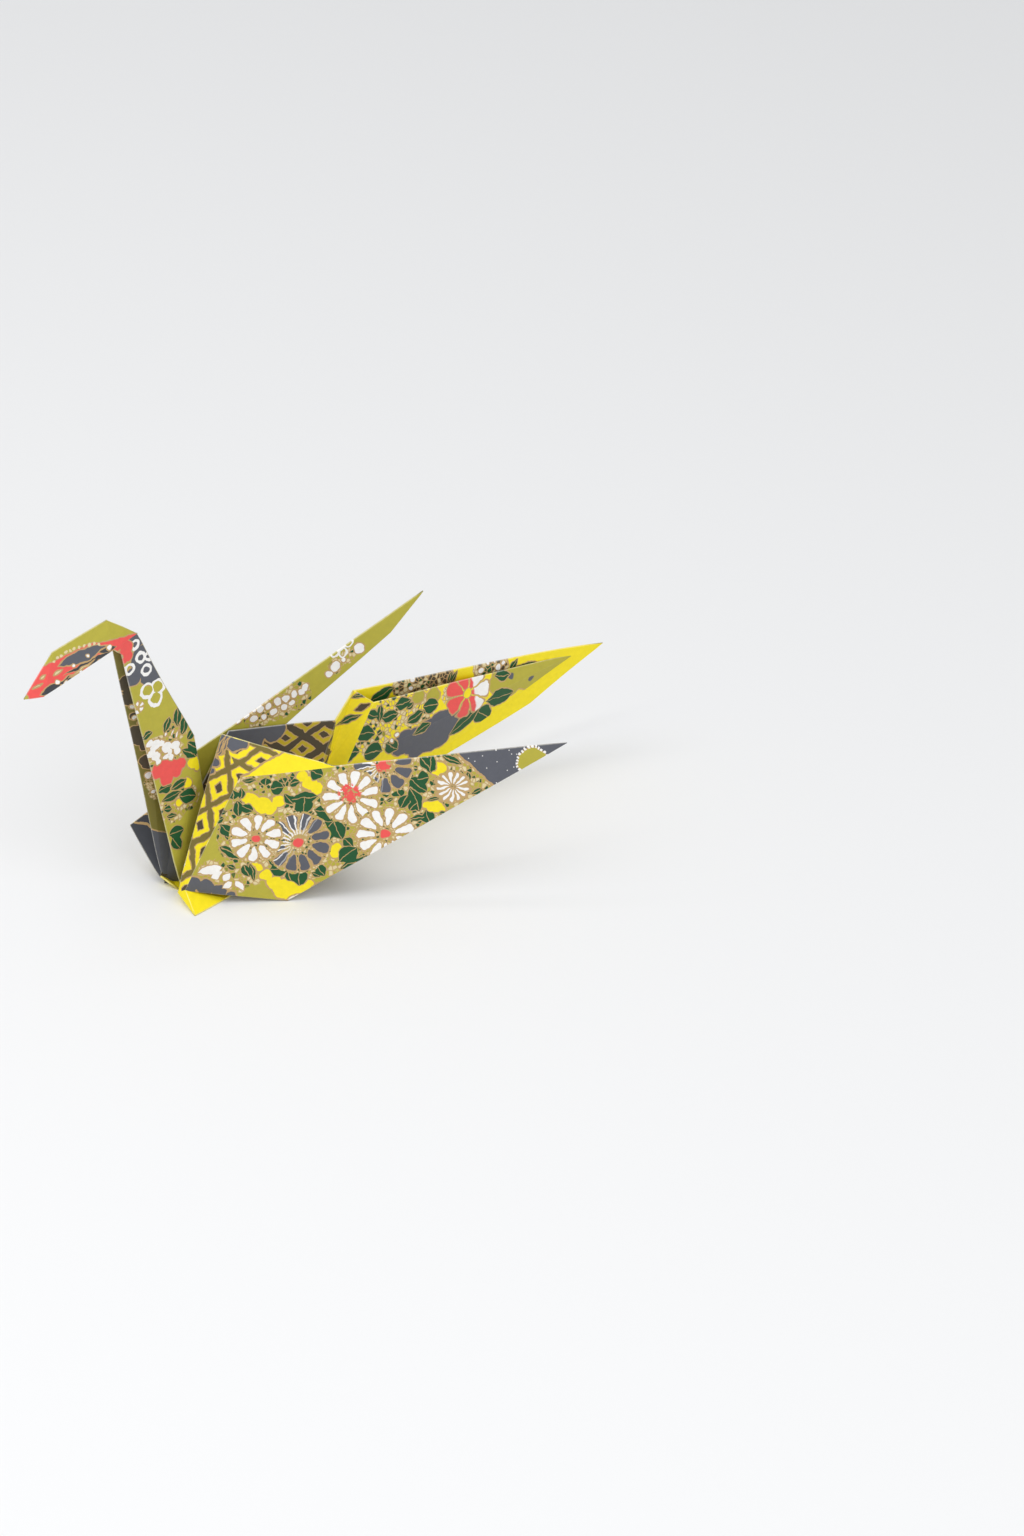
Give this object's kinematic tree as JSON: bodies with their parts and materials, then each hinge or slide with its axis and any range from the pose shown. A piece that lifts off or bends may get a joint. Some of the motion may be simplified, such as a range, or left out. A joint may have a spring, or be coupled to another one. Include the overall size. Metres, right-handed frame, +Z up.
{
  "type": "origami crane",
  "caption": "Folded paper crane with a raised neck and tail and two swept-back wings, standing on its folded base; a table or shelf ornament.",
  "frame": {"origin": "on the ground, at the middle of the folded base", "axes": "+X from the neck towards the wing tips, +Y towards the far wing, +Z up"},
  "size_m": [0.1286, 0.0441, 0.0612],
  "materials": {
    "printed_paper": "matte printed washi paper with gold lines"
  },
  "bodies": {
    "root": {"paper_crane": "printed_paper"}
  },
  "joints": []
}
